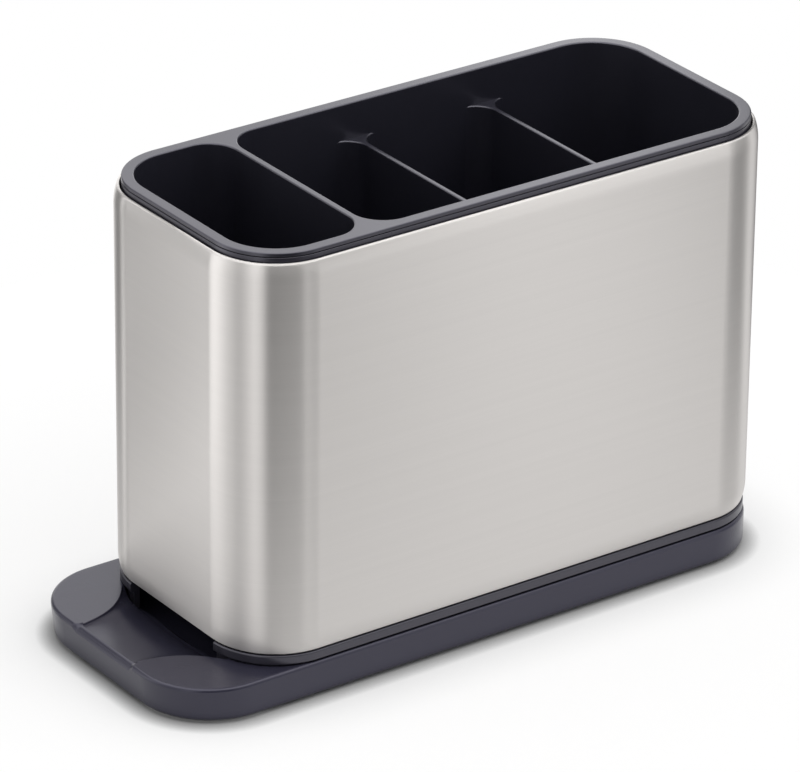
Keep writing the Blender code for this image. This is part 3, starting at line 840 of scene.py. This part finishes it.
# %% The tray's outside, its well and its basin
SPOUT_REACH = 0.0270
TRAY_PLAY = 0.0001
TRAY_START = BODY_START - SPOUT_REACH
TRAY_END = BODY_END - TRAY_PLAY
TRAY_HALF = BODY_WIDTH / 2 - TRAY_PLAY
TRAY_BASE = 0.0008
TRAY_TOP = 0.0132
TRAY_LEAN = 0.0008
LEANT_RADIUS = 0.0270
WELL_INSET = 0.0013
WELL_BEVEL = 0.0003
BASIN_FLOOR = 0.0034
BASIN_FALL = 0.0010
BASIN_RISE = 0.0060


def tray_outline(inset, height):
    share = (TRAY_TOP - height) / (TRAY_TOP - TRAY_BASE)
    half = TRAY_HALF - inset
    spout_radius = CORNER_RADIUS + (LEANT_RADIUS - CORNER_RADIUS) * share - inset
    radii = [CORNER_RADIUS - inset, spout_radius, spout_radius, CORNER_RADIUS - inset]
    return rounded_box(TRAY_START + TRAY_LEAN * share + inset, TRAY_END - inset, -half, half, radii)


def tray_block():
    corners = [
        (CAP_INSET, TRAY_BASE, 0.0),
        (0.0, TRAY_BASE, 0.0020),
        (0.0, TRAY_TOP, 0.0014),
        (0.0030, TRAY_TOP, 0.0),
    ]
    loops = [at_height(tray_outline(inset, height), height) for inset, height in soften(corners, steps=8)]
    return stack("tray_moulding", loops)


def well_tool():
    inset = WELL_INSET - WELL_BEVEL
    rows = [(WELL_INSET, LEDGE_TOP), (WELL_INSET, TRAY_TOP - WELL_BEVEL)]
    return stack_rows("well", rows + [(inset, TRAY_TOP), (inset, TRAY_TOP + OVERSHOOT)], body_outline)


def basin_tool():
    loops = []
    corners = [(CAP_INSET, 0.0, 0.0), (0.0, 0.0, 0.0025), (0.0, BASIN_RISE, 0.0)]
    for inset, rise in soften(corners, steps=6):
        loop = []
        for x, y in body_outline(SKIRT_INNER + PLAY + inset):
            fall = BASIN_FALL * (x - BODY_START) / BODY_LENGTH if rise < BASIN_RISE else 0.0
            loop.append((x, y, BASIN_FLOOR + fall + rise))
        loops.append(loop)
    return stack("basin", loops)


print("tray:", round(TRAY_END - TRAY_START, 4), "long,", round(2 * TRAY_HALF, 4), "wide")

# %% [markdown]
# The channel has one rule for its width and one for its floor. It is narrow at the lip and flares to
# meet the well. Its floor climbs out of the well, levels off into a shelf and ends in a small step
# behind the lip, and the lip's inner edge is rounded. Each cross-section is close to half an ellipse, so
# the channel is a dish that gathers the water. It spreads a little where it meets the wings, for a
# soft edge. The CAD solid has a plain ramp here: the dish and the shelf were added to this scene alone.

# %% The spout's channel
LIP_WALL = 0.0028
LIP_TOP = TRAY_TOP - 0.0006
LIP_STEP = 0.0011
LIP_ROUND = 0.0004
LIP_FLARE = 0.0050
LIP_WIDTH = 0.0312
LIP_OVERLAP = 0.0005
MOUTH_WIDTH = 0.0620
RAMP_LENGTH = 0.0330
CREST = TRAY_START + LIP_WALL
EARLY_FLARE = 0.3
EARLY_FALL = 0.25
DISH_POWER = 0.9
DISH_SIDES = 30
WING_ROUND = 0.0004
BEHIND_CREST = 0.00008
INTO_BASIN = 0.0043


def channel_half(x):
    share = (x - CREST) / (SPOUT_REACH + WELL_INSET - LIP_WALL)
    share = min(max(share, 0.0), 1.0)
    flare = EARLY_FLARE * share + (1 - EARLY_FLARE) * share**3
    return (LIP_WIDTH + (MOUTH_WIDTH - LIP_WIDTH) * flare) / 2


def channel_floor(x):
    if x <= CREST:
        past = min(max((x - CREST + LIP_ROUND) / LIP_ROUND, 0.0), 1.0)
        return LIP_TOP - LIP_ROUND * (1 - math.sqrt(1 - past**2))
    share = min((x - CREST) / RAMP_LENGTH, 1.0)
    left = 1 - EARLY_FALL * share - (1 - EARLY_FALL) * share**4
    return BASIN_FLOOR + (LIP_TOP - LIP_STEP - BASIN_FLOOR) * left


def channel_section(x):
    half = channel_half(x)
    depth = TRAY_TOP - channel_floor(x)
    edge = [(half + WING_ROUND, TRAY_TOP + OVERSHOOT)]
    edge += [(half + across, TRAY_TOP - down) for across, down in reversed(rounding(WING_ROUND, 4))]
    below = []
    for angle in spaced(0.0, math.pi, DISH_SIDES)[1:-1]:
        across = math.copysign(abs(math.cos(angle)) ** DISH_POWER, math.cos(angle))
        down = (depth - WING_ROUND) * math.sin(angle) ** DISH_POWER
        below.append((half * across, TRAY_TOP - WING_ROUND - down))
    section = edge + below + [(-y, z) for y, z in reversed(edge)]
    return [(x, y, z) for y, z in section]


def channel_tool():
    end = BODY_START + SKIRT_INNER + INTO_BASIN
    places = [CREST - back for _, back in rounding(LIP_ROUND, 6)]
    places += [CREST + BEHIND_CREST + (end - CREST) * step / 40 for step in range(41)]
    return stack("channel", [channel_section(x) for x in places])


def lip_tool():
    """Rounds the end wall over, between the wings. Both ends of the cut run out upwards."""
    outer = TRAY_START - OVERSHOOT
    inner = CREST + LIP_OVERLAP
    crest = [(TRAY_START + across, LIP_TOP - down) for across, down in rounding(LIP_WALL, 12)]
    profile = [(outer, LIP_TOP - LIP_WALL), *crest, (inner, LIP_TOP)]
    run_out = TRAY_TOP - LIP_TOP + LIP_WALL
    roof = TRAY_TOP + LIP_WALL + OVERSHOOT
    half = LIP_WIDTH / 2
    side = [(half + LIP_FLARE * step / 8, run_out * (step / 8) ** 1.3) for step in range(9)]
    loops = []
    for y, lift in [(-y, lift) for y, lift in reversed(side)] + side:
        loop = [(x, y, z + lift) for x, z in profile]
        loops.append(loop + [(inner, y, roof), (outer, y, roof)])
    return stack("lip", loops)


print("channel:", round(2 * channel_half(CREST), 4), "wide at the lip,", MOUTH_WIDTH, "at the well")

# %% [markdown]
# Under each wing the moulding is hollow, so that it cools evenly and saves plastic. Four shallow round
# recesses hold the feet. The photograph shows none of this, so it follows what such trays have.

# %% Pockets and recesses under the tray
POCKET_WALL = 0.0020
POCKET_PLAY = 0.0002
FOOT_HEIGHT = 0.0016
RECESS_RADIUS = 0.0073
RECESS_TOP = 0.0019
FOOT_FROM_END = 0.0300
FOOT_OFFSET = 0.0298
FOOT_ENDS = (BODY_START + FOOT_FROM_END, BODY_END - FOOT_FROM_END)
FOOT_PLACES = [(x, y) for x in FOOT_ENDS for y in (-FOOT_OFFSET, FOOT_OFFSET)]


def wing_pocket(name, side):
    """The space under a wing: along its round corner, back along the channel, and along the well."""
    outer = LEANT_RADIUS - POCKET_WALL
    centre_x, centre_y = TRAY_START + TRAY_LEAN + LEANT_RADIUS, TRAY_HALF - LEANT_RADIUS
    turn = math.acos((LIP_WIDTH / 2 + 2 * POCKET_WALL + POCKET_PLAY - centre_y) / outer)
    points = []
    for step in range(25):
        angle = math.pi / 2 + turn * step / 24
        points.append((centre_x + outer * math.cos(angle), centre_y + outer * math.sin(angle)))
    for x in spaced(points[-1][0], BODY_START - POCKET_WALL, 20):
        points.append((x, channel_half(x) + POCKET_WALL))
    radius = CORNER_RADIUS - WELL_INSET + POCKET_WALL
    middle = BODY_WIDTH / 2 - CORNER_RADIUS
    from_angle = math.asin((points[-1][1] + POCKET_WALL - middle) / radius)
    to_angle = math.asin((TRAY_HALF - POCKET_WALL - middle) / radius)
    for angle in spaced(from_angle, to_angle, 12):
        across = BODY_START + CORNER_RADIUS - radius * math.cos(angle)
        points.append((across, middle + radius * math.sin(angle)))
    outline = [(x, side * y) for x, y in points]
    levels = (TRAY_BASE - OVERSHOOT, TRAY_TOP - POCKET_WALL)
    return stack(name, [at_height(outline, height) for height in levels])


def recess(number, x, y):
    ring = circle(ROUND_SIDES, RECESS_RADIUS, x, y)
    return stack(f"recess_{number}", [at_height(ring, height) for height in (-OVERSHOOT, RECESS_TOP)])


tray_moulding = tray_block()
carve(tray_moulding, well_tool(), basin_tool(), channel_tool(), lip_tool())
carve(tray_moulding, wing_pocket("front_pocket", -1), wing_pocket("back_pocket", 1))
carve(tray_moulding, *[recess(number, x, y) for number, (x, y) in enumerate(FOOT_PLACES)])
cover(tray_moulding, TRAY_PLASTIC)
settle(tray_moulding, sharp=38)

# %% [markdown]
# ## The feet
#
# Four rubber discs keep the tray from sliding on a wet worktop. One foot is drawn, with a soft lower
# edge and a shallow dish in its underside. A tree sets it on the four points of a grid.

# %% The tree that sets the feet, and the feet
FOOT_RADIUS = 0.0070


def foot_tree():
    sizes = (
        ("Apart Along", NUMBER, BODY_LENGTH - 2 * FOOT_FROM_END),
        ("Apart Across", NUMBER, 2 * FOOT_OFFSET),
        ("Centre", "NodeSocketVector", (BODY_X, 0, 0)),
        ("Finish", "NodeSocketMaterial", None),
    )
    tree, sockets, result = new_tree("four feet", sizes)
    grid = add_node(tree, "GeometryNodeMeshGrid", {"Vertices X": 2, "Vertices Y": 2})
    feet = copies_on_grid(tree, grid, (sockets, "Centre"), (sockets, "Geometry"))
    paint = add_node(tree, "GeometryNodeSetMaterial")
    chain(
        tree,
        (sockets, "Apart Along", grid, "Size X"),
        (sockets, "Apart Across", grid, "Size Y"),
        (feet, "Geometry", paint, "Geometry"),
        (sockets, "Finish", paint, "Material"),
        (paint, "Geometry", result, "Geometry"),
    )
    return tree


def one_foot():
    """Rows of radius, height and rounding, from the dish round the edge to the top."""
    corners = [
        (0.0045, 0.0002, 0.0),
        (0.0050, 0.0, 0.0),
        (FOOT_RADIUS, 0.0, 0.0004),
        (FOOT_RADIUS, FOOT_HEIGHT, 0.0002),
        (0.0040, FOOT_HEIGHT, 0.0),
    ]
    return stack_rows("rubber_feet", soften(corners), lambda radius: circle(ROUND_SIDES, radius))


rubber_feet = one_foot()
feet_modifier = rubber_feet.modifiers.new("feet", "NODES")
feet_modifier.node_group = foot_tree()
give(feet_modifier, finish=FOOT_RUBBER)
settle(rubber_feet)

# %% [markdown]
# ## What moves with what
#
# Every piece rides on a body of the CAD model and takes the place of its CAD solid. The sleeve and its
# rings lift off the tray together, and the insert lifts out of the sleeve.

# %% Ride on the bodies
FEET = ("foot_spout_front", "foot_spout_back", "foot_end_front", "foot_end_back")
PIECES = (
    (steel_shell, "casing", "satin_steel", ("steel_sleeve",)),
    (top_band, "casing", "ring_plastic", ("top_ring",)),
    (base_band, "casing", "ring_plastic", ("base_ring",)),
    (cutlery_holder, "insert", "insert_plastic", ("cutlery_insert",)),
    (tray_moulding, "tray", "tray_plastic", ("drip_tray",)),
    (rubber_feet, "tray", "foot_rubber", FEET),
)
for piece, body, finish, nodes in PIECES:
    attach(piece, body)
    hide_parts(*nodes)
    print(piece.name, "rides on", body)

# %% [markdown]
# ## The camera
#
# A camera was fitted to the object's edges in the photograph. It stands two metres away with a long
# lens, a little above and on the spout's side, and a long lens keeps upright edges upright. Its place is
# given by the point that it looks at, two angles and a distance, and a small roll levels it as the
# picture is.

# %% The camera
AIM = Vector((0.001088, 0.004078, 0.072751))
AZIMUTH = math.radians(-35.547)
ELEVATION = math.radians(25.839)
ROLL = math.radians(0.552)
DISTANCE = 2.01217
SENSOR_MM = 36.0
LENS_MM = 269.774


def place_camera():
    lens = bpy.data.cameras.new("camera")
    lens.sensor_width = SENSOR_MM
    lens.lens = LENS_MM
    lens.clip_start = 0.1
    lens.clip_end = 50.0
    camera = add_object("camera", lens)
    level = math.cos(ELEVATION)
    back = Vector((math.sin(AZIMUTH) * level, -math.cos(AZIMUTH) * level, math.sin(ELEVATION)))
    right = (-back).cross(Vector((0, 0, 1))).normalized()
    up = right.cross(-back)
    turned_right = math.cos(ROLL) * right + math.sin(ROLL) * up
    turned_up = math.cos(ROLL) * up - math.sin(ROLL) * right
    turn = Matrix((turned_right, turned_up, back)).transposed().to_4x4()
    camera.matrix_world = Matrix.Translation(AIM + back * DISTANCE) @ turn
    bpy.context.scene.camera = camera
    return camera


camera = place_camera()
print("camera at", [round(value, 3) for value in camera.location])

# %% [markdown]
# ## The studio
#
# Brushed metal has hardly any colour of its own: it shows the room. So the room is part of the steel's
# finish. How the photograph was lit isn't known. The drum below stands in for it, with bright panels and
# dark gaps in its wall and a bright lid. One ramp gives its brightness for each compass direction,
# counted in degrees from +X towards +Y. The levels began as a fit to the tones on the photograph's
# steel, and were then changed render by render, so they suit this camera best. Only reflections
# see the drum: the camera looks through it to plain white, and matt surfaces get no light from it.

# %% The light tent
TENT_RADIUS = 0.55
TENT_HEIGHT = 0.60
TENT_FOOT = -0.40
TENT_SIDES = 180
LID_LEVEL = 2.2
TENT_PANELS = (
    (-170, 0.60), (-154, 1.28), (-146, 0.90), (-138, 0.00), (-98, 0.00), (-90, 0.48), (-76, 0.23),
    (-64, 0.74), (-60, 1.08), (-54, 1.02), (-48, 0.74), (-38, 0.34), (-18, 0.38), (-6, 1.08), (8, 0.88),
    (22, 0.00), (38, 0.75), (46, 2.40), (60, 1.32), (74, 1.44), (88, 1.48), (104, 0.25), (116, 0.28),
    (122, 0.40), (126, 1.75), (129, 1.25), (132, 0.20), (137, 0.42), (143, 1.78), (150, 1.74),
    (160, 1.44), (174, 0.85),
)


def glow_finish(name, strength):
    """A material that only glows, its node tree and its Emission shader."""
    material = bpy.data.materials.new(name)
    material.use_nodes = True
    tree = material.node_tree
    tree.nodes.clear()
    output = add_node(tree, "ShaderNodeOutputMaterial")
    glow = add_node(tree, "ShaderNodeEmission", {"Strength": strength})
    tree.links.new(glow.outputs["Emission"], output.inputs["Surface"])
    return material, tree, glow


def panel_finish():
    """The wall's glow. The ramp holds shares of the brightest level, because its colours end at 1."""
    brightest = max(level for _, level in TENT_PANELS)
    material, tree, glow = glow_finish("tent_panels", brightest)
    place = add_node(tree, "ShaderNodeTexCoord")
    centre = add_node(tree, "ShaderNodeMapping", {"Location": (-BODY_X, 0.0, 0.0)})
    split = add_node(tree, "ShaderNodeSeparateXYZ")
    round_share = add_node(tree, "ShaderNodeMapRange", {"From Min": -math.pi, "From Max": math.pi})
    ramp = add_node(tree, "ShaderNodeValToRGB")
    chain(
        tree,
        (place, "Object", centre, "Vector"),
        (centre, "Vector", split, "Vector"),
        (round_share, "Result", ramp, "Fac"),
        (ramp, "Color", glow, "Color"),
    )
    turn = maths(tree, "ARCTAN2", split.outputs["Y"], split.outputs["X"])
    tree.links.new(turn, round_share.inputs["Value"])
    stops = ramp.color_ramp.elements
    while len(stops) < len(TENT_PANELS):
        stops.new(0.5)
    for stop, (degrees, level) in zip(stops, TENT_PANELS):
        stop.position = (degrees + 180) / 360
        grey = level / brightest
        stop.color = (grey, grey, grey, 1.0)
    return material


def light_tent():
    """A wall of upright faces and a lid, which is the last face."""
    low = at_height(circle(TENT_SIDES, TENT_RADIUS, BODY_X), TENT_FOOT)
    high = [(x, y, TENT_HEIGHT) for x, y, _ in low]
    faces = []
    for side in range(TENT_SIDES):
        following = (side + 1) % TENT_SIDES
        faces.append((side, following, TENT_SIDES + following, TENT_SIDES + side))
    faces.append(tuple(range(TENT_SIDES, 2 * TENT_SIDES)))
    mesh = bpy.data.meshes.new("light_tent")
    mesh.from_pydata(low + high, [], faces)
    mesh.materials.append(panel_finish())
    mesh.materials.append(glow_finish("tent_lid", LID_LEVEL)[0])
    mesh.polygons[TENT_SIDES].material_index = 1
    tent = add_object("light_tent", mesh)
    tent.visible_camera = False
    tent.visible_diffuse = False
    tent.visible_shadow = False


light_tent()
print("tent:", len(TENT_PANELS), "panels and gaps, up to", max(level for _, level in TENT_PANELS))

# %% [markdown]
# The world is plain white for the camera and for reflections, and a little lower as fill light. The
# table is a pale disc under the drainer. A wide soft sun stands to the front right, and its shadow shows
# that the drainer stands on the table. Seen by the camera, or in glossy pieces, the table glows, so that
# it meets the white round it. Near the drainer the glow is held back by how closed in each spot is:
# that is a painted contact shadow, the soft dark line where the tray meets the table.

# %% The world, the table and the sun
WHITE = (1.0, 1.0, 1.0, 1.0)
FILL_LEVEL = 0.72
TABLE_RADIUS = 0.28
TABLE_SIDES = 128
TABLE_GREY = (0.35, 0.35, 0.35, 1.0)
TABLE_GLOW = 0.66
SUN_AZIMUTH = math.radians(-50)
SUN_ELEVATION = math.radians(58)
SUN_STRENGTH = 1.1
SUN_WIDTH = math.radians(60)


def build_world():
    world = bpy.data.worlds.new("studio")
    bpy.context.scene.world = world
    world.use_nodes = True
    tree = world.node_tree
    tree.nodes.clear()
    output = add_node(tree, "ShaderNodeOutputWorld")
    path = add_node(tree, "ShaderNodeLightPath")
    seen = maths(tree, "MAXIMUM", path.outputs["Is Camera Ray"], path.outputs["Is Glossy Ray"])
    seen = maths(tree, "MAXIMUM", seen, path.outputs["Is Transmission Ray"])
    mix = add_node(tree, "ShaderNodeMixShader")
    tree.links.new(seen, mix.inputs["Fac"])
    for entry, strength in ((1, FILL_LEVEL), (2, 1.0)):
        background = add_node(tree, "ShaderNodeBackground", {"Color": WHITE, "Strength": strength})
        tree.links.new(background.outputs["Background"], mix.inputs[entry])
    tree.links.new(mix.outputs["Shader"], output.inputs["Surface"])


def openness(tree, reach, power):
    """1 on the open table, and less where something stands within reach."""
    nearby = add_node(tree, "ShaderNodeAmbientOcclusion", samples=8)
    put(nearby, {"Distance": reach})
    return maths(tree, "POWER", nearby.outputs["AO"], power)


def table_finish():
    material, tree, shader = new_finish("white_table")
    put(shader, {"Base Color": TABLE_GREY, "Roughness": 0.9, "Specular IOR Level": 0.0})
    put(shader, {"Emission Color": WHITE})
    path = add_node(tree, "ShaderNodeLightPath")
    mirrored = maths(tree, "MAXIMUM", path.outputs["Is Glossy Ray"], path.outputs["Is Transmission Ray"])
    # Ambient occlusion dims the glow near the drainer, which paints a contact shadow on the table. The short
    # reach dims it for camera and glossy rays, and the wider reach for the camera only.
    direct = maths(tree, "MULTIPLY", openness(tree, 0.030, 0.5), path.outputs["Is Camera Ray"])
    lift = maths(tree, "MULTIPLY", maths(tree, "ADD", direct, mirrored), openness(tree, 0.007, 3.0))
    tree.links.new(maths(tree, "MULTIPLY", lift, TABLE_GLOW), shader.inputs["Emission Strength"])
    return material


def round_table():
    mesh = bpy.data.meshes.new("table")
    rim = at_height(circle(TABLE_SIDES, TABLE_RADIUS, BODY_X), 0.0)
    mesh.from_pydata(rim, [], [tuple(range(TABLE_SIDES))])
    mesh.materials.append(table_finish())
    add_object("table", mesh)


def soft_sun():
    lamp = bpy.data.lights.new("sun", "SUN")
    lamp.energy = SUN_STRENGTH
    lamp.angle = SUN_WIDTH
    holder = add_object("sun", lamp)
    level = math.cos(SUN_ELEVATION)
    towards = Vector((level * math.cos(SUN_AZIMUTH), level * math.sin(SUN_AZIMUTH), math.sin(SUN_ELEVATION)))
    holder.rotation_euler = towards.to_track_quat("Z", "Y").to_euler()


build_world()
round_table()
soft_sun()
print("table radius:", TABLE_RADIUS)
bpy.context.scene.view_settings.view_transform = "Standard"
